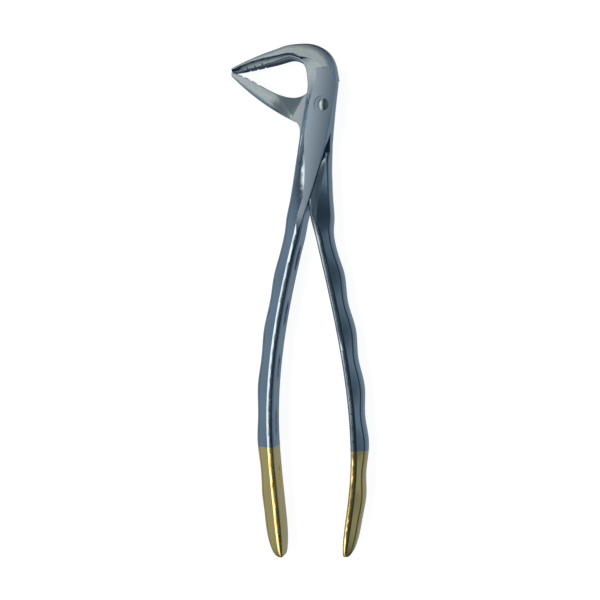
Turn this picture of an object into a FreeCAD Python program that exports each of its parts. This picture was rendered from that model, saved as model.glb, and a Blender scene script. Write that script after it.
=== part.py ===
import FreeCAD
import Part
import math
import os
import re
import Sketcher
from FreeCAD import Placement, Rotation, Vector

# Lower extraction forceps with right-angle beaks, in millimetres.
# Two crossed halves turn on one rivet. The forceps lies flat: +Z is the pivot axis, +Y runs from the
# pivot to the beaks, and the origin is on the pivot axis in the plane of the flat rear joint face.
# Each half is a band of sections. A section has a flat edge (the inner side of a handle) and an edge
# where its front and rear slope away (the outer side of a handle).
# A rule is an expression of the sheet's cells, written with their names. Sketches and features keep
# their rules, so the model follows the sheet.

doc = FreeCAD.newDocument("extraction_forceps")

SIZES = [
    ("handle_reach", 148.0),      # pivot to the end of the upper half's handle, along Y
    ("handle_offset", 1.8),       # how much shorter the lower half's handle ends
    ("beak_reach", 31.6),         # pivot to the nose of the beaks, along X
    ("beak_height", 12.85),       # pivot to the seam between the beaks, along Y
    ("beak_gap", 0.08),           # daylight between the closed beaks at the nose
    ("nose_height", 1.3),         # each beak's height at its nose
    ("beak_width", 3.9),          # the upper beak's height next to the bend
    ("beak_tip_depth", 4.6),      # depth of the beaks at the nose
    ("lip_width", 0.9),           # front and rear lips of the jaws
    ("bend_radius", 6.0),         # inner radius of the upper half's bend
    ("bend_centre", 11.5),        # bend centre to pivot, along X
    ("bend_rise", 10.3),          # bend centre to pivot, along Y
    ("bend_step", 0.5),           # how much deeper the bend is than the joint
    ("joint_thickness", 7.8),     # front face to rear face of the joint
    ("joint_width", 9.8),         # width of the upper joint plate at the pivot
    ("joint_radius", 9.3),        # rounded end of the lower joint plate
    ("shoulder_radius", 16.0),    # where the lower plate ends beside the upper handle
    ("joint_clearance", 0.05),    # between the two joint faces
    ("side_clearance", 0.25),     # between a joint plate and the shoulder beside it
    ("rivet_diameter", 3.4),
    ("rivet_clearance", 0.03),    # radial, in the half that turns
    ("head_overhang", 0.25),      # rim of the domed head, outside the shank
    ("head_height", 0.7),
    ("flare_overhang", 0.45),     # riveted rear end, outside the shank
    ("flare_depth", 0.9),
    ("rivet_inset", 0.02),        # rear end below the rear face
    ("dish_margin", 0.85),        # shallow dish round the domed head
    ("dish_depth", 0.25),
    ("left_width", 5.9),          # handle widths where the handles part
    ("right_width", 5.3),
    ("right_taper", 0.7),         # how much narrower the right handle is at its end
    ("left_wave", 0.2),           # height of the finger waves
    ("right_wave", 0.4),
    ("handle_end", 12.0),         # length of the rounded end
    ("end_width", 1.6),
    ("end_inset", 1.3),           # how much the front and rear draw in at the rounded end
    ("handle_lift", 0.03),        # backs of the handles above the rear joint face
    ("handle_flat", 2.2),         # crowned front beside a handle's inner face
    ("handle_crown", 0.06),       # how far the front stands up in its middle
    ("inner_round", 0.55),        # edges of the inner face
    ("outer_round", 0.9),         # edges of the outer side
    ("outer_drop", 1.15),         # how far front and rear slope down to the outer side
    ("wave_pitch", 18.0),
    ("wave_start", 47.0),         # pivot to the first waist
    ("left_spread", 16.7),        # widest place of each handle's inner face
    ("right_spread", 9.2),
    ("dimple_length", 9.6),
    ("dimple_width", 3.4),
    ("dimple_depth", 0.8),
    ("leaf_width", 2.7),          # hollow-ground leaf along the back of the lower beak
    ("leaf_drop", 0.6),
    ("leaf_hollow", 0.15),
    ("upper_tooth_start", 5.6),    # nose to the first notch
    ("lower_tooth_start", 4.5),
    ("tooth_pitch", 2.6),
    ("tooth_width", 1.4),
    ("tooth_depth", 1.0),
]
CROTCH = 36.0          # pivot to the place where the handles part
HANDLE_TOP = 42.0      # pivot to the first full section of a handle
HANDLE_STEP = 4.5      # spacing of handle sections, a quarter of a wave
NECK_X = 6.0           # the lower beak starts beside the pivot, from this far out at its jaw side
NECK_BACK_X = 10.9     # and from this far out at its back
NECK_Y = 5.1
NECK_BACK_Y = -3.8
FRONT_NOTCH_STEP = 0.3     # the front notches start this far in front of the beak's middle plane
REAR_NOTCH_STEP = -0.8     # and the rear ones this far behind it
BEND_DEPTH = "(joint_thickness + bend_step)"
LOWER_FACE = "(joint_thickness / 2 - joint_clearance / 2)"
UPPER_FACE = "(joint_thickness / 2 + joint_clearance / 2)"

sheet = doc.addObject("Spreadsheet::Sheet", "Dims")
for row, (name, number) in enumerate(SIZES, start=1):
    sheet.set("A%d" % row, name)
    sheet.set("B%d" % row, str(number))
    sheet.setAlias("B%d" % row, name)
doc.recompute()
CELL = re.compile(r"\b(%s)\b" % "|".join(name for name, number in SIZES))


def value(rule):
    """The number that a rule gives. A plain number stands for itself."""
    return float(sheet.evalExpression(rule)) if isinstance(rule, str) else float(rule)


def bind(item, prop, rule):
    """Keep a property of an object at what a rule gives."""
    item.setExpression(prop, CELL.sub(r"Dims.\1", rule))


# ---- sketches and features ----

def role_plane(body, role):
    return next(item for item in body.Origin.OriginFeatures if item.Role == role)


def new_body(label):
    body = doc.addObject("PartDesign::Body", label)
    body.Label = label
    return body


def attach(feature, body, role="XY_Plane", offset=Placement()):
    feature.AttachmentSupport = [(role_plane(body, role), "")]
    feature.MapMode = "FlatFace"
    feature.AttachmentOffset = offset


def new_sketch(body, name, role="XY_Plane", offset=Placement()):
    sketch = body.newObject("Sketcher::SketchObject", name)
    attach(sketch, body, role, offset)
    return sketch


def add_edge(sketch, start, end, bulge):
    """A straight edge, or an arc that stands bulge to the right of the way from start to end."""
    chord = end - start
    if abs(bulge) < 1e-6:
        return sketch.addGeometry(Part.LineSegment(start, end), False)
    middle = (start + end) * 0.5 + Vector(chord.y, -chord.x, 0).normalize() * bulge
    index = sketch.addGeometry(Part.ArcOfCircle(start, middle, end), False)
    if 0.1 < abs(bulge) / chord.Length < 0.4:
        radius = (chord.Length ** 2 / 4 + bulge ** 2) / (2 * abs(bulge))
        sketch.addConstraint(Sketcher.Constraint("Radius", index, radius))
    return index


def outline(sketch, corners, bulges=()):
    """A closed outline. Each coordinate of a corner is a number or a rule, and keeps to it."""
    bulges = bulges or [0.0] * len(corners)
    points = [Vector(value(x), value(y), 0) for x, y in corners]
    ends = []
    for k, start in enumerate(points):
        index = add_edge(sketch, start, points[(k + 1) % len(points)], bulges[k])
        backwards = (sketch.getPoint(index, 1) - start).Length > 1e-6
        ends.append((index, 2, 1) if backwards else (index, 1, 2))
    for (index, first, last), following in zip(ends, ends[1:] + ends[:1]):
        sketch.addConstraint(Sketcher.Constraint("Coincident", index, last, following[0], following[1]))
    for k, (index, first, last) in enumerate(ends):
        for axis, rule in zip("XY", corners[k]):
            place = Sketcher.Constraint("Distance" + axis, -1, 1, index, first, value(rule))
            number = sketch.addConstraint(place)
            if isinstance(rule, str):
                name = "corner_%d_%s" % (index, axis.lower())
                sketch.renameConstraint(number, name)
                bind(sketch, "Constraints." + name, rule)


def check_cut(body, feature, before):
    """Measure what the cut takes away by itself, because a notch is smaller than a long body's rounding."""
    doc.recompute()
    tool = feature.AddSubShape.copy()
    tool.Placement = feature.Placement.multiply(tool.Placement)
    if not abs(tool.common(before).Volume) > 1e-3:
        raise RuntimeError("%s of %s cuts nothing" % (feature.Label, body.Label))


def cut_to_height(body, name, sketch, height, above):
    """Cut a plan outline away, everything above or everything below a height."""
    before = body.Shape.copy()
    bind(sketch, "AttachmentOffset.Base.z", height)
    doc.recompute()
    feature = body.newObject("PartDesign::Pocket", name)
    feature.Profile = sketch
    bind(feature, "Length", BEND_DEPTH + " + 5")
    feature.Reversed = above
    check_cut(body, feature, before)


def turned_cut(body, name, profile):
    """Cut the solid that a profile of (radius, height) corners makes round the pivot axis."""
    before = body.Shape.copy()
    sketch = new_sketch(body, name + "_profile", "XZ_Plane")
    outline(sketch, profile)
    doc.recompute()
    groove = body.newObject("PartDesign::Groove", name)
    groove.Profile = sketch
    groove.ReferenceAxis = (sketch, ["V_Axis"])
    groove.Angle = 360.0
    check_cut(body, groove, before)


def smooth(t):
    t = min(1.0, max(0.0, t))
    return t * t * (3 - 2 * t)


def hermite(t, start, start_slope, end, end_slope, span):
    """Cubic from start to end over span, with the slopes given at both ends."""
    t2 = t * t
    t3 = t2 * t
    middle = start * (2 * t3 - 3 * t2 + 1) + end * (3 * t2 - 2 * t3)
    return middle + span * (start_slope * (t3 - 2 * t2 + t) + end_slope * (t3 - t2))


class Section:
    """A slice of a half. It stands on the line from its flat edge towards its sloping edge.

    width, low and high are rules. drop is how far front and rear fall to the sloping edge, and flat is
    how much of them stays level beside the flat edge. rounds are the corner sizes at the two edges,
    cups the hollows of the two upright faces, grind the hollow of the two slopes, and crown how far the
    level parts stand up in their middle.
    """

    def __init__(self, flat_edge, slope_edge, width, low, high, drop, flat, rounds,
                 cups=(0, 0), grind=0, crown=0):
        self.flat_edge = Vector(*flat_edge, 0)
        self.slope_edge = Vector(*slope_edge, 0)
        self.width = width
        self.low = low
        self.high = high
        self.drop = drop
        self.flat = flat
        self.rounds = rounds
        self.cups = cups
        self.grind = grind
        self.crown = crown

    def draw(self, body, name):
        across = self.flat_edge - self.slope_edge
        angle = math.degrees(math.atan2(across.y, across.x))
        turn = Rotation(Vector(0, 0, 1), angle).multiply(Rotation(Vector(1, 0, 0), 90))
        sketch = new_sketch(body, name, offset=Placement(self.flat_edge, turn))
        slope_round, flat_round = self.rounds
        outer = "-(%s)" % self.width
        outer_round = "%.4f - (%s)" % (slope_round, self.width)
        low, high, drop = self.low, self.high, self.drop
        corners = [
            (outer, "%s - %.4f" % (high, drop + slope_round)),
            (outer, "%s + %.4f" % (low, drop + slope_round)),
            (outer_round, "%s + %.4f" % (low, drop)),
            (-self.flat, low),
            (-flat_round, low),
            (0, "%s + %.4f" % (low, flat_round)),
            (0, "%s - %.4f" % (high, flat_round)),
            (-flat_round, high),
            (-self.flat, high),
            (outer_round, "%s - %.4f" % (high, drop)),
        ]
        quarter = math.sqrt(2) * math.tan(math.pi / 8) / 2
        at_slope = slope_round * quarter
        at_flat = flat_round * quarter
        bulges = [-self.cups[0], at_slope, -self.grind, 0, at_flat]
        bulges += [-self.cups[1], at_flat, self.crown, -self.grind, at_slope]
        outline(sketch, corners, bulges)
        return sketch


def loft(body, name, sections):
    sketches = [item.draw(body, "%s_section_%d" % (name, k)) for k, item in enumerate(sections)]
    doc.recompute()
    feature = body.newObject("PartDesign::AdditiveLoft", name)
    feature.Profile = sketches[0]
    feature.Sections = sketches[1:]
    doc.recompute()


# ---- plan lines of the joint and the handles ----

def upper_middle(y):
    """Middle of the upper joint plate at height y: it leans towards its handle."""
    return -1.4 + 0.155 * y - 0.0018 * y * y


def upper_narrowing(y):
    """The plate narrows below the pivot until it is the handle."""
    return smooth(-y / (CROTCH + 8.0)) ** 1.3


def upper_width(y):
    return value("joint_width") + value("left_width - joint_width") * upper_narrowing(y)


def upper_right_edge(y):
    return upper_middle(y) + upper_width(y) / 2


def lower_left_edge(y):
    """Left edge of the lower half between its shoulder and the place where the handles part."""
    return -7.0 - (y + 0.9 * value("shoulder_radius")) * 0.13


def lower_right_edge(y):
    return 1.8 + 0.0016 * (y + 12.0) ** 2


def wave(y):
    """Finger waves, from -1 at a waist to 1 at a crest."""
    return -math.cos(2 * math.pi * (-y - value("wave_start")) / value("wave_pitch"))


def upper_handle_inner(y):
    widest = 102.0
    spread = -value("left_spread")
    if -y < widest:
        return hermite((-y - CROTCH) / (widest - CROTCH), -5.8, -0.27, spread, 0.0, widest - CROTCH)
    span = value("handle_reach") - widest
    return hermite((-y - widest) / span, spread, 0.0, spread + 3.7, 0.05, span)


def lower_handle_inner(y):
    widest = 115.0
    spread = value("right_spread")
    if -y < widest:
        return hermite((-y - CROTCH) / (widest - CROTCH), -4.0, 0.235, spread, 0.0, widest - CROTCH)
    span = value("handle_reach - handle_offset") - widest
    return hermite((-y - widest) / span, spread, 0.0, spread - 3.2, -0.1, span)


# ---- sections of the handles ----

def handle_sections(inner, side, width, taper, ripple, reach):
    """Sections from the crotch to the rounded end. side is -1 for the left handle, 1 for the right.

    width, taper, ripple and reach are rules.
    """
    straight = value(reach + " - handle_end")
    flat = value("handle_flat")
    drop = value("outer_drop")
    crown = value("handle_crown")
    outer_round = value("outer_round")
    inner_round = value("inner_round")
    lift = "(joint_thickness - %s - handle_crown)"
    count = int(round((straight - HANDLE_TOP) / HANDLE_STEP))
    sections = []
    for k in range(count + 1):
        y = -(HANDLE_TOP + (straight - HANDLE_TOP) * k / count)
        fade = min(1.0, (straight + y) / 6.0) * smooth((-y - HANDLE_TOP + 2.0) / 8.0)
        rule = "%s - %s * %.4f + %s * %.4f" % (width, taper, k / count, ripple, wave(y) * fade)
        lean = inner(y + 0.5) - inner(y - 0.5)
        outward = Vector(side, -side * lean, 0).normalize()
        outer = Vector(inner(y), y, 0) + outward * value(rule)
        sections.append(Section((inner(y), y), (outer.x, outer.y), rule, "handle_lift", lift % 0,
                                drop, flat, (outer_round, inner_round), (-0.08, 0), -0.03, crown))
    # the end rounds off in width, mostly from the outer side, and less in depth
    for part in (0.25, 0.5, 0.75, 0.92, 1.0):
        y = -(straight + value("handle_end") * part)
        full = (1 - part ** 2.4) ** 0.6
        rule = "end_width + (%s - %s - end_width) * %.4f" % (width, taper, full)
        edge = inner(y) + side * 0.2 * (value("%s - %s" % (width, taper)) - value(rule))
        rounds = (0.35 + (outer_round - 0.35) * full, 0.4 + (inner_round - 0.4) * full)
        level = 0.6 + (flat - 0.6) * full
        sections.append(Section((edge, y), (edge + side, y), rule,
                                "(handle_lift + end_inset * %.4f)" % (1 - full),
                                lift % ("end_inset * %.4f" % (1 - full)),
                                0.2 + (drop - 0.2) * full, level, rounds,
                                (-0.08 * full, 0), -0.03, crown * full))
    return sections


# ---- sections of the upper half above its handle ----

def upper_plate_sections():
    """From the crotch up over the pivot to the start of the bend."""
    sections = []
    for y in (-36.5, -31.0, -25.0, -19.5, -14.0, -8.5, -3.0, 2.5, 7.0):
        left = upper_middle(y) - upper_width(y) / 2
        right = upper_right_edge(y)
        swell = 0.06 + 0.94 * smooth((y + 4.0) / 12.0)
        # beside the bend the front falls steeply to the left edge, and below the pivot gently
        drop = 0.5 + 0.8 * smooth((y + 6.0) / 9.0) + (value("outer_drop") - 0.5) * smooth((-y - 14.0) / 26.0)
        ground = value("handle_flat") + 5.7 * smooth((y + 36.0) / 30.0) ** 1.3 - 1.2 * smooth((y - 1.0) / 7.0)
        outer_round = value("outer_round")
        bevel = upper_width(y) - ground - outer_round
        run = bevel / (1 - value("bend_step") * swell / drop)
        inner_round = value("inner_round") - 0.15 * swell + 1.3 * smooth((y + 2.0) / 11.0)
        width = "joint_width + (left_width - joint_width) * %.4f" % upper_narrowing(y)
        high = "(joint_thickness + bend_step * %.4f)" % swell
        flat = max(upper_width(y) - outer_round - run, inner_round + 0.1)
        sections.append(Section((right, y), (left, y), width, "0", high, drop, flat,
                                (outer_round, inner_round), (-0.06, 0), -0.08))
    return sections


def bend_sections():
    """The band turns a quarter round the bend centre and narrows to the root of the beak."""
    sections = []
    centre = Vector(-value("bend_centre"), value("bend_rise"), 0)
    for degrees in (0, 18, 36, 54, 72, 90):
        ray = Vector(math.cos(math.radians(degrees)), math.sin(math.radians(degrees)), 0)
        t = degrees / 90.0
        rule = "joint_width - 0.2 + (beak_width - joint_width + 0.2) * %.4f" % smooth(t) ** 1.3
        inner = centre + ray * value("bend_radius")
        outer = inner + ray * value(rule)
        bevel = 5.9 - 4.9 * smooth(1.6 * t)
        round_off = 1.7 + 1.3 * math.sin(math.pi * min(1.0, 1.15 * t)) - 0.2 * t
        flat = max(value(rule) - bevel, round_off + 0.1)
        cups = (0.1 + 0.5 * t, -0.1 - 0.2 * t)
        sections.append(Section((outer.x, outer.y), (inner.x, inner.y), rule, "0", BEND_DEPTH, 1.2, flat,
                                (0.6 - 0.3 * t, round_off), cups, 0.22 * t - 0.04))
    return sections


def beak_depth(t):
    """Rules for the rear and front of a beak, t of the way from its root to its nose."""
    half = "(%s + (beak_tip_depth - %s) * %.4f) / 2" % (BEND_DEPTH, BEND_DEPTH, t ** 1.5)
    return "(%s / 2 - %s)" % (BEND_DEPTH, half), "(%s / 2 + %s)" % (BEND_DEPTH, half)


def upper_jaw_edge(x):
    root_x = -value("bend_centre")
    t = (x - root_x) / (-value("beak_reach") - root_x)
    root = value("bend_rise + bend_radius")
    nose = value("beak_height + beak_gap / 2")
    return nose + (root - nose) * (1 - t) ** 1.3


def upper_beak_sections():
    sections = []
    root_x = -value("bend_centre")
    for t in (0.18, 0.36, 0.54, 0.7, 0.83, 0.93, 1.0):
        x = root_x - (value("beak_reach") + root_x) * t
        rule = "nose_height + (beak_width - nose_height) * %.4f" % ((1 - t ** 2.6) ** 0.9)
        width = value(rule)
        low, high = beak_depth(t)
        jaw = upper_jaw_edge(x)
        round_off = min(1.5, width * 0.4)
        lip = min(0.3, width * 0.2)
        cup = min(0.7, width * 0.25) * min(1.0, (1 - t) * 4)
        bevel = value("lip_width") + math.sin(math.pi * t / 1.15)
        flat = max(width - bevel, round_off + 0.05)
        grind = 0.22 * min(1.0, (1 - t) * 3)
        sections.append(Section((x, jaw + width), (x, jaw), rule, low, high, 1.1 + 0.3 * math.sin(math.pi * t),
                                flat, (lip, round_off), (cup, -0.15 * (1 - t)), grind))
    return sections


# ---- sections of the lower half beside and above its handle ----

def lower_jaw_edge(x):
    """The window's lower edge dips beside the pivot and rises to the nose."""
    nose = value("beak_height - beak_gap / 2")
    t = (-x - NECK_X) / (value("beak_reach") - NECK_X)
    return NECK_Y + (nose - NECK_Y) * t - 28.3 * t * max(0.0, 1 - t) ** 2.33


def lower_back_edge(x):
    nose = value("beak_height - beak_gap / 2 - nose_height")
    t = (-x - NECK_BACK_X) / (value("beak_reach") - NECK_BACK_X)
    return NECK_BACK_Y + (nose - NECK_BACK_Y) * t - 5.4 * t * (1 - t)


def lower_beak_sections():
    """The beak fans out of the joint plate, rises from the joint face to its full depth, and tapers.

    A hollow-ground leaf runs along its back edge.
    """
    sections = []
    for t in (0.0, 0.07, 0.14, 0.22, 0.31, 0.41, 0.52, 0.64, 0.75, 0.85, 0.94, 1.0):
        jaw_x = -NECK_X - (value("beak_reach") - NECK_X) * t
        back_x = -NECK_BACK_X - (value("beak_reach") - NECK_BACK_X) * t
        jaw = Vector(jaw_x, lower_jaw_edge(jaw_x), 0)
        back = Vector(back_x, lower_back_edge(back_x), 0)
        width = (jaw - back).Length
        low, full = beak_depth(t)
        risen = smooth(t / 0.4) ** 1.2
        high = "(%s + (%s - %s) * %.4f)" % (LOWER_FACE, full, LOWER_FACE, risen)
        back_round = min(0.15 + 1.6 * smooth((t - 0.08) / 0.35), width * 0.4)
        lip = min(0.1 + 0.25 * risen, width * 0.2)
        cup = min(0.8, width * 0.25) * min(1.0, (1 - t) * 4) * risen
        leaf = math.sin(math.pi * min(1.0, t / 0.9) ** 0.7)
        room = width - back_round - lip - 0.1
        leaf_width = min(0.05 + value("leaf_width") * leaf, room)
        sections.append(Section((jaw.x, jaw.y), (back.x, back.y), "%.4f" % width, low, high,
                                0.01 + value("leaf_drop") * leaf, width - back_round - leaf_width,
                                (back_round, lip), (-0.1, cup), value("leaf_hollow") * leaf))
    return sections


def lower_handle_top_sections():
    """The lower half rises from the joint plate to the full depth of its handle."""
    sections = []
    rounds = (0.7, 0.9)
    for y in (-11.0, -16.0, -21.0, -26.0, -31.0, -36.5):
        risen = smooth((-y - 11.0) / 11.0)
        high = "(%s + 0.6 + (joint_thickness - handle_crown - %s - 0.6) * %.4f)" % (LOWER_FACE, LOWER_FACE, risen)
        right = lower_right_edge(y) - 0.4 * smooth((y + 19.0) / 8.0)
        left = lower_left_edge(y)
        flat = min(value("handle_flat") + 5.3 * smooth((y + 38.0) / 22.0), right - left - rounds[0] - 0.4)
        sections.append(Section((left, y), (right, y), "%.4f" % (right - left), "handle_lift", high,
                                value("outer_drop"), flat, rounds, (-0.05, 0), -0.03))
    return sections


# ---- hollows and teeth ----

def dimples(body, inner, side):
    """Shallow lens-shaped hollows at the waists of a handle's inner face."""
    share = 0.6     # how far out the ellipsoid's cap starts, of its radius
    spread = 1 / math.sqrt(1 - share ** 2)
    for k in range(5):
        y = -(value("wave_start") + 3.0 + value("wave_pitch") * k)
        lean = math.degrees(math.atan(inner(y + 0.5) - inner(y - 0.5)))
        thick = value("dimple_depth") / (1 - share)
        at = Vector(inner(y) - side * (thick - value("dimple_depth")), y, 0)
        lens = body.newObject("PartDesign::SubtractiveEllipsoid", "dimple_%d" % k)
        attach(lens, body, offset=Placement(at, Rotation(Vector(0, 0, 1), -lean)))
        bind(lens, "AttachmentOffset.Base.z", "joint_thickness / 2 + 0.4")
        bind(lens, "Radius1", "dimple_width / 2 * %.4f" % spread)
        bind(lens, "Radius2", "dimple_depth / %.4f" % (1 - share))
        bind(lens, "Radius3", "dimple_length / 2 * %.4f" % spread)
        doc.recompute()


def teeth(body, edge, outward, start):
    """Three V notches in the front lip of a beak near its nose, and three shallower ones in the rear."""
    for lip, share, step, above in (("front", 1.0, FRONT_NOTCH_STEP, True), ("rear", 0.5, REAR_NOTCH_STEP, False)):
        sketch = new_sketch(body, "teeth_%s_outline" % lip)
        for k in range(3):
            middle = "-beak_reach + %s + tooth_pitch * %d" % (start, k)
            y = edge(value(middle))
            lead = y - outward * 0.6
            corners = [(middle + " - tooth_width / 2", lead), (middle + " + tooth_width / 2", lead),
                       (middle, "%.4f + tooth_depth * %.4f" % (y, outward * share))]
            outline(sketch, corners[::outward])
        height = "%s / 2 + %.1f" % (BEND_DEPTH, step)
        cut_to_height(body, "teeth_%s" % lip, sketch, height, above)


# ---- the three pieces ----

def shoulder_corner(radius, gap):
    """Where a shoulder of this radius meets the lower half's left edge, gap away from it."""
    y = -radius
    for _ in range(30):
        x = lower_left_edge(y) - gap
        y = -math.sqrt(radius * radius - x * x)
    return Vector(x, y, 0)


def make_upper_half():
    body = new_body("upper_beak_half")
    inner = upper_handle_inner
    handle = handle_sections(inner, -1, "left_width", "0", "left_wave", "handle_reach")
    loft(body, "band", handle[::-1] + upper_plate_sections() + bend_sections() + upper_beak_sections())

    # front face of the joint, ground flat up to a step below the bend
    step = "bend_rise + 1.6"
    corners = [("-bend_centre - 4", step), ("-bend_centre - 4", -60), (8, -60), (8, 7.0)]
    corners += [(4.2, step + " - 2.6"), (1.6, step + " - 0.4"), (-2.2, step)]
    ground = new_sketch(body, "ground_face_outline")
    outline(ground, corners, [0, 0, 0, 0, 0.4, 0.1, 0])
    cut_to_height(body, "ground_face", ground, "joint_thickness", above=True)

    # rear of the plate, cut back to make room for the lower half
    gap = value("side_clearance")
    top = value("joint_radius") + gap
    shoulder = value("shoulder_radius") + gap
    start = shoulder_corner(shoulder, gap)
    end_y = -CROTCH - 4.0
    turn = math.radians(200)
    left = Vector(shoulder * math.cos(turn), shoulder * math.sin(turn), 0)
    corners = [("-joint_radius - side_clearance", 0), (left.x, left.y), (start.x, start.y)]
    corners += [(lower_left_edge(end_y) - gap, end_y), (14, end_y), ("joint_radius + side_clearance", 0)]
    sagitta = shoulder * (1 - math.cos((math.atan2(start.y, start.x) + 2 * math.pi - turn) / 2))
    room = new_sketch(body, "room_outline")
    outline(room, corners, [0, sagitta, 0, 0, 0, top])
    cut_to_height(body, "room_for_lower_half", room, UPPER_FACE, above=False)

    hole = "rivet_diameter / 2 + rivet_clearance"
    dish = "rivet_diameter / 2 + head_overhang + dish_margin"
    floor = "joint_thickness - dish_depth"
    over = BEND_DEPTH + " + 1"
    turned_cut(body, "rivet_hole", [(0, 1), (hole, 1), (hole, floor), (dish, floor), (dish, over), (0, over)])
    dimples(body, inner, -1)
    teeth(body, upper_jaw_edge, 1, "upper_tooth_start")
    return body


def make_lower_half():
    body = new_body("lower_beak_half")
    inner = lower_handle_inner
    reach = "handle_reach - handle_offset"
    handle = handle_sections(inner, 1, "right_width", "right_taper", "right_wave", reach)
    loft(body, "handle", lower_handle_top_sections() + handle)
    loft(body, "beak", lower_beak_sections())

    radius = value("joint_radius")
    right = 66
    left = 112
    corner = shoulder_corner(value("shoulder_radius"), 0.0)
    corners = [
        ("joint_radius * cos(%d deg)" % right, "joint_radius * sin(%d deg)" % right),
        ("joint_radius * cos(%d deg)" % left, "joint_radius * sin(%d deg)" % left),
        (-NECK_X - 0.3, lower_jaw_edge(-NECK_X - 0.3) - 0.1),
        (-NECK_X - 1.5, lower_jaw_edge(-NECK_X - 1.5) - 0.8),
        (-NECK_BACK_X - 1.1, lower_back_edge(-NECK_BACK_X - 1.1) + 0.1),
        (-NECK_BACK_X + 0.7, NECK_BACK_Y - 0.4),
        (-8.6, -8.0),
        (-8.6, -11.4),
        (corner.x, corner.y),
        (lower_left_edge(-24.0), -24.0),
        (lower_right_edge(-24.0) - 0.6, -24.0),
        (lower_right_edge(-12.0) - 0.1, -12.0),
    ]
    arch = radius * (1 - math.cos(math.radians(left - right) / 2))
    plate_outline = new_sketch(body, "plate_outline")
    outline(plate_outline, corners, [arch, 0, 0, 0, 0, -0.55, 0, 0.15, 0, 0, 0, -0.15])
    doc.recompute()
    plate = body.newObject("PartDesign::Pad", "plate")
    plate.Profile = plate_outline
    bind(plate, "Length", LOWER_FACE)
    doc.recompute()

    # front of the plate and handle, cut back to make room for the upper half
    rows = [-8.0 - 4.0 * k for k in range(9)]
    corners = [(-16, rows[0]), (-16, rows[-1])]
    corners += [("%.4f + side_clearance" % upper_right_edge(y), y) for y in reversed(rows)]
    room = new_sketch(body, "room_outline")
    outline(room, corners)
    cut_to_height(body, "room_for_upper_half", room, LOWER_FACE, above=True)

    shank = "rivet_diameter / 2"
    flare = shank + " + flare_overhang"
    seat = "rivet_inset + flare_depth"
    over = LOWER_FACE + " + 1"
    turned_cut(body, "rivet_hole", [(0, -1), (flare, -1), (flare, "rivet_inset"), (shank, seat), (shank, over),
                                    (0, over)])
    dimples(body, inner, 1)
    teeth(body, lower_jaw_edge, -1, "lower_tooth_start")
    return body


def make_rivet():
    """A domed head in the dish, a shank that turns in the upper half, and a riveted flare in the lower."""
    body = new_body("pivot_rivet")
    shank = "rivet_diameter / 2"
    flare = shank + " + flare_overhang"
    head = shank + " + head_overhang"
    rim_height = 0.15
    seat = "joint_thickness - dish_depth + rivet_clearance"
    rim = "%s + %.2f" % (seat, rim_height)
    corners = [(0, "rivet_inset"), (flare, "rivet_inset"), (shank, "rivet_inset + flare_depth"), (shank, seat),
               (head, seat), (head, rim), (0, seat + " + head_height")]
    rise = value("head_height") - rim_height
    reach = value(head)
    ball = (reach * reach + rise * rise) / (2 * rise)
    crown = ball - math.sqrt(ball * ball - (reach * reach + rise * rise) / 4)
    sketch = new_sketch(body, "profile", "XZ_Plane")
    outline(sketch, corners, [0, 0, 0, 0, 0, crown, 0])
    doc.recompute()
    turned = body.newObject("PartDesign::Revolution", "turned")
    turned.Profile = sketch
    turned.ReferenceAxis = (sketch, ["V_Axis"])
    turned.Angle = 360.0
    doc.recompute()
    return body


parts = [make_upper_half(), make_lower_half(), make_rivet()]
doc.recompute()
for item in doc.Objects:
    if "Invalid" in item.State or "Error" in item.State:
        raise RuntimeError(item.Name + " failed: " + str(item.State))
for part in parts:
    if part.Shape.isNull() or not part.Shape.isValid():
        raise RuntimeError(part.Label + " has no valid shape")
os.makedirs("parts", exist_ok=True)
for part in parts:
    print(part.Label, round(part.Shape.Volume, 1), len(part.Shape.Faces), len(part.Shape.Solids))
    part.Shape.exportStep("parts/%s.step" % part.Label)
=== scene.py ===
import math

import bpy
from mathutils import Matrix, Vector

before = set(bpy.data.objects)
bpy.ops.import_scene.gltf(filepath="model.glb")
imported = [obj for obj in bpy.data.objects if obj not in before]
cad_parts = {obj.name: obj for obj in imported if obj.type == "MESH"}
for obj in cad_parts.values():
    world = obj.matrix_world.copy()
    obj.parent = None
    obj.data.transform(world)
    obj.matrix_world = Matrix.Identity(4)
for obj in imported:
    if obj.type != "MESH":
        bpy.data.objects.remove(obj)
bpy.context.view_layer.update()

# Extraction forceps: two polished steel halves with satin beaks, a brushed joint face and gilded
# handle ends. Metres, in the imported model's own frame: the origin is on the pivot axis, +Z is the
# front, +Y runs to the beaks. Positions in materials are object coordinates, which turn with a half.

MM = 0.001


# ---------------------------------------------------------------- node trees

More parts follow.
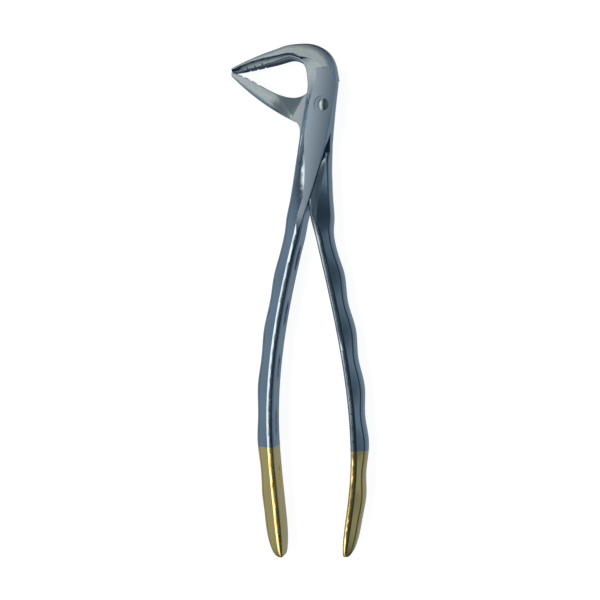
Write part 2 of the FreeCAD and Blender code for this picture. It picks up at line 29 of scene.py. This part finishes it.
class Nodes:
    """A node tree, with a method for each kind of node that the studio and the finishes use."""

    def __init__(self, tree):
        self.tree = tree
        self.coordinates = self.new("ShaderNodeTexCoord")

    def new(self, kind, **inputs):
        node = self.tree.nodes.new(kind)
        for name, given in inputs.items():
            self.put(node.inputs[name.replace("_", " ")], given)
        return node

    def put(self, socket, given):
        """Link a socket, or set it. A colour may leave out its alpha."""
        if isinstance(given, bpy.types.NodeSocket):
            self.tree.links.new(given, socket)
        elif isinstance(given, tuple) and len(given) == 3 and len(socket.default_value) == 4:
            socket.default_value = given + (1.0,)
        else:
            socket.default_value = given

    def axes(self, vector):
        return self.new("ShaderNodeSeparateXYZ", Vector=vector).outputs

    def math(self, operation, *values):
        node = self.tree.nodes.new("ShaderNodeMath")
        node.operation = operation
        for socket, given in zip(node.inputs, values):
            self.put(socket, given)
        return node.outputs[0]

    def product(self, first, *others):
        for other in others:
            first = self.math("MULTIPLY", first, other)
        return first

    def share(self, given, start, end):
        """From 0 at start to 1 at end, evenly."""
        return self.new("ShaderNodeMapRange", Value=given, From_Min=start, From_Max=end).outputs["Result"]

    def ramp(self, given, start, end):
        """0 before start, 1 after end, and smooth between."""
        result = self.share(given, start, end)
        result.node.interpolation_type = "SMOOTHSTEP"
        return result

    def blend(self, share, first, second):
        """A number between first and second."""
        return self.new("ShaderNodeMapRange", Value=share, To_Min=first, To_Max=second).outputs["Result"]

    def mix(self, share, first, second, how="MIX"):
        """A colour between first and second."""
        node = self.tree.nodes.new("ShaderNodeMix")
        node.data_type = "RGBA"
        node.blend_type = how
        share_socket, first_socket, second_socket = node.inputs[0], node.inputs[6], node.inputs[7]
        self.put(share_socket, share)
        self.put(first_socket, first)
        self.put(second_socket, second)
        return node.outputs[2]

    def stops(self, share, stops):
        """A colour along (place, colour) stops. The first is at place 0 and the last at 1."""
        node = self.new("ShaderNodeValToRGB", Fac=share)
        elements = node.color_ramp.elements
        elements[0].position, elements[1].position = 0.0, 1.0
        for place, colour in stops:
            element = elements[0] if place == 0 else elements[-1] if place == 1 else elements.new(place)
            element.color = colour + (1.0,)
        return node.outputs["Color"]


def shade(colour, share):
    return tuple(part * share for part in colour)


# ---------------------------------------------------------------- camera, floor and studio

def add_camera():
    """Looks down on the forceps from its right, level with the middle of its length."""
    distance, azimuth = 0.280, math.radians(15.0)
    sensor, width_seen = 36.0, 0.198
    back = Vector((math.sin(azimuth), 0, math.cos(azimuth)))
    right = Vector((math.cos(azimuth), 0, -math.sin(azimuth)))
    up = Vector((0, 1, 0))
    target = Vector((-8.454 * MM, -63.309 * MM, 4.0 * MM))
    data = bpy.data.cameras.new("camera")
    data.sensor_width = sensor
    data.lens = sensor * distance / width_seen
    data.clip_start = 0.01
    camera = bpy.data.objects.new("camera", data)
    bpy.context.scene.collection.objects.link(camera)
    turn = Matrix((right, up, back)).transposed().to_4x4()
    camera.matrix_world = Matrix.Translation(target + back * distance) @ turn
    bpy.context.scene.camera = camera


def add_floor():
    """A white table. Mirror reflections pass it by, so the steel reflects the studio."""
    half = 3.0
    below = -0.2 * MM
    mesh = bpy.data.meshes.new("floor")
    corners = [(-half, -half, 0), (half, -half, 0), (half, half, 0), (-half, half, 0)]
    mesh.from_pydata(corners, [], [(0, 1, 2, 3)])
    floor = bpy.data.objects.new("floor", mesh)
    floor.location.z = below
    floor.visible_glossy = False
    bpy.context.scene.collection.objects.link(floor)
    material = bpy.data.materials.new("floor")
    material.use_nodes = True
    shader = material.node_tree.nodes["Principled BSDF"]
    shader.inputs["Base Color"].default_value = (0.35, 0.35, 0.35, 1)
    shader.inputs["Roughness"].default_value = 0.9
    shader.inputs["Emission Color"].default_value = (1, 1, 1, 1)
    shader.inputs["Emission Strength"].default_value = 0.93
    mesh.materials.append(material)


# The studio along a circle over the handles, in degrees from straight up, left is negative
STUDIO_BRIGHTNESS = 2.5
STRIP = (2.4, 2.3, 2.1)
STUDIO = [
    (-180, (0.27, 0.33, 0.37)),
    (-125, (0.30, 0.36, 0.40)),
    (-95, (0.42, 0.50, 0.55)),
    (-62, (0.33, 0.40, 0.46)),
    (-46, (0.22, 0.28, 0.33)),
    (-41, (0.05, 0.08, 0.10)),
    (-36, (0.05, 0.08, 0.10)),
    (-34, STRIP),
    (-21, STRIP),
    (-18, (0.10, 0.14, 0.17)),
    (-10, (0.03, 0.05, 0.065)),
    (10, (0.025, 0.045, 0.055)),
    (20, (0.05, 0.08, 0.10)),
    (36, (0.09, 0.13, 0.155)),
    (48, (0.18, 0.23, 0.27)),
    (62, (0.26, 0.33, 0.37)),
    (80, (0.28, 0.36, 0.44)),
    (125, (0.27, 0.34, 0.40)),
    (180, (0.27, 0.33, 0.37)),
]
# It is dimmer towards both ends of the forceps, most of all beyond the handles. The first number is
# how much of a direction runs along the forceps, from -1 at the handle ends to 1 at the beaks.
STUDIO_ALONG = [(-1, 0.25), (-0.75, 0.35), (-0.45, 0.9), (0, 1.0), (0.5, 1.0), (0.8, 0.5), (1, 0.35)]


def add_world():
    world = bpy.data.worlds.new("studio")
    bpy.context.scene.world = world
    world.use_nodes = True
    nodes = Nodes(world.node_tree)
    background = world.node_tree.nodes["Background"]
    x, y, z = nodes.axes(nodes.coordinates.outputs["Generated"])
    around = nodes.share(nodes.math("ARCTAN2", x, z), -math.pi, math.pi)
    light = nodes.stops(around, [((degrees + 180) / 360, shade(colour, 1 / STUDIO_BRIGHTNESS))
                                 for degrees, colour in STUDIO])
    dimming = nodes.stops(nodes.share(y, -1.0, 1.0), [((along + 1) / 2, (level, level, level))
                                                      for along, level in STUDIO_ALONG])
    nodes.put(background.inputs["Color"], nodes.mix(1.0, light, dimming, how="MULTIPLY"))
    nodes.put(background.inputs["Strength"], STUDIO_BRIGHTNESS)


# ---------------------------------------------------------------- finishes

POLISHED = (0.38, 0.46, 0.54)
BRUSHED = (0.46, 0.57, 0.70)
# painted shade: the darker colour that the ground joint face is painted towards its right side
BRUSHED_PAINTED_SHADE = (0.13, 0.19, 0.26)
SATIN = (0.72, 0.80, 0.84)
GOLD = (1.0, 0.72, 0.29)
RIVET_STEEL = (0.50, 0.57, 0.60)
RIVET_MARKS = (0.44, 0.51, 0.55)

GOLD_LINE = -111.8 * MM      # where the gilding of both handles begins
STEP_LINE = 11.9 * MM        # the ground joint face ends at this step
FRONT_FACE = 7.8 * MM
REAR_PLATE_FACE = 4.0 * MM   # just in front of the joint face of the lower half
PLATE_LEAN = 0.17            # how far the plate's middle moves left for each millimetre down
PLATE_PAINTED_LIGHT = -6.0 * MM      # painted light: the ground face's colour is painted brightest here, left of its middle
PLATE_PAINTED_DARK = 5.0 * MM        # painted shade: the colour is painted darkest here
PAINTED_SHADE_SHARE = 0.85           # how much of the ground face's colour follows that painted light and shade
MARKS = (0.3, 0.7)           # noise below the first is no mark, above the second a full one


class Finish(Nodes):
    """The nodes of a metal finish, with the object coordinates that they start from."""

    def __init__(self, name):
        self.material = bpy.data.materials.new(name)
        self.material.use_nodes = True
        super().__init__(self.material.node_tree)
        self.shader = self.tree.nodes["Principled BSDF"]
        self.shader.inputs["Metallic"].default_value = 1.0
        self.x, self.y, self.z = self.axes(self.coordinates.outputs["Object"])
        self.facing_front = self.axes(self.coordinates.outputs["Normal"])["Z"]

    def grain(self, stretch, detail=3.0):
        """Noise from 0 to 1. stretch is how many grains fit in a millimetre along X, Y and Z."""
        scaled = self.new("ShaderNodeMapping", Vector=self.coordinates.outputs["Object"])
        scaled.inputs["Scale"].default_value = tuple(part / MM for part in stretch)
        noise = self.new("ShaderNodeTexNoise", Vector=scaled.outputs[0], Scale=1.0, Detail=detail)
        return noise.outputs["Fac"]

    def mottled(self, marks, colour, mark_colour):
        return self.mix(self.ramp(marks, *MARKS), colour, mark_colour)

    def surface(self, colour, roughness, relief, strength, depth):
        self.put(self.shader.inputs["Base Color"], colour)
        self.put(self.shader.inputs["Roughness"], roughness)
        bump = self.new("ShaderNodeBump", Height=relief, Strength=strength, Distance=depth)
        self.put(self.shader.inputs["Normal"], bump.outputs["Normal"])


def half_finish(name, brushed, satin):
    """Steel of one half. brushed and satin are functions that give the share of each finish."""
    nodes = Finish(name)
    brushed = brushed(nodes)
    satin = nodes.product(satin(nodes), nodes.math("SUBTRACT", 1.0, brushed))
    gold = nodes.ramp(nodes.y, GOLD_LINE + 0.15 * MM, GOLD_LINE - 0.15 * MM)

    lines = nodes.grain((0.25, 7.0, 7.0))
    grit = nodes.grain((2.2, 2.2, 2.2))
    wipe = nodes.grain((0.5, 0.05, 0.5))
    cloud = nodes.grain((0.08, 0.05, 0.08), detail=1.0)

    # painted light and shade: the ground face's colour is painted brighter beside its left edge, which
    # leans towards the handle, and darker towards its right
    across = nodes.math("SUBTRACT", nodes.x, nodes.product(nodes.y, PLATE_LEAN))
    painted_shade = nodes.mix(nodes.ramp(across, PLATE_PAINTED_LIGHT, PLATE_PAINTED_DARK), BRUSHED, BRUSHED_PAINTED_SHADE)
    ground = nodes.mix(PAINTED_SHADE_SHARE, nodes.mottled(lines, BRUSHED, shade(BRUSHED, 0.93)), painted_shade)
    colour = nodes.mix(brushed, nodes.mottled(cloud, POLISHED, shade(POLISHED, 0.93)), ground)
    colour = nodes.mix(satin, colour, nodes.mottled(grit, SATIN, shade(SATIN, 0.88)))
    colour = nodes.mix(gold, colour, nodes.mottled(cloud, GOLD, shade(GOLD, 0.92)))

    rough = nodes.math("ADD", nodes.blend(wipe, 0.09, 0.17),
                       nodes.product(brushed, nodes.blend(lines, 0.22, 0.32)))
    rough = nodes.math("ADD", rough, nodes.product(satin, nodes.blend(grit, 0.38, 0.50)))

    relief = nodes.math("ADD", nodes.product(brushed, nodes.product(lines, 0.4)),
                        nodes.product(satin, nodes.product(grit, 0.6)))
    nodes.surface(colour, rough, relief, strength=0.35, depth=0.02 * MM)
    return nodes.material


def level_face(nodes):
    """Only what is square to the pivot axis and looks to the front."""
    return nodes.ramp(nodes.facing_front, 0.99, 0.998)


def upper_brushed(nodes):
    """The ground front face of the joint, with the dish round the rivet, fading into the handle below."""
    low = nodes.ramp(nodes.y, -41.0 * MM, -30.0 * MM)
    high = nodes.ramp(nodes.y, STEP_LINE + 0.3 * MM, STEP_LINE)
    front = nodes.ramp(nodes.z, FRONT_FACE - 0.5 * MM, FRONT_FACE - 0.4 * MM)
    return nodes.product(level_face(nodes), low, nodes.product(high, front))


def lower_brushed(nodes):
    """The joint face that the upper half turns on."""
    front = nodes.ramp(nodes.z, REAR_PLATE_FACE + 0.2 * MM, REAR_PLATE_FACE)
    inside = nodes.ramp(nodes.x, -9.0 * MM, -7.0 * MM)
    return nodes.product(level_face(nodes), front, inside)


def facing_satin(nodes, start, end):
    """Satin beyond a height, and only where the surface faces the front: the beaks' sides stay polished."""
    return nodes.product(nodes.ramp(nodes.y, start, end), nodes.ramp(nodes.facing_front, 0.62, 0.82))


def upper_satin(nodes):
    return facing_satin(nodes, 1.5 * MM, 4.5 * MM)


def lower_satin(nodes):
    return facing_satin(nodes, -13.0 * MM, -10.0 * MM)


def rivet_finish():
    nodes = Finish("rivet_steel_finish")
    turned = nodes.grain((4.0, 4.0, 4.0))
    nodes.surface(nodes.mottled(turned, RIVET_STEEL, RIVET_MARKS), nodes.blend(turned, 0.26, 0.34),
                  turned, strength=0.2, depth=0.01 * MM)
    return nodes.material


def dress(name, material):
    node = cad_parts[name]
    if not node.material_slots:
        node.data.materials.append(material)
    for slot in node.material_slots:
        slot.material = material


add_camera()
add_floor()
add_world()
bpy.context.scene.view_settings.view_transform = "Standard"
dress("upper_beak_half", half_finish("upper_steel_finish", upper_brushed, upper_satin))
dress("lower_beak_half", half_finish("lower_steel_finish", lower_brushed, lower_satin))
dress("pivot_rivet", rivet_finish())
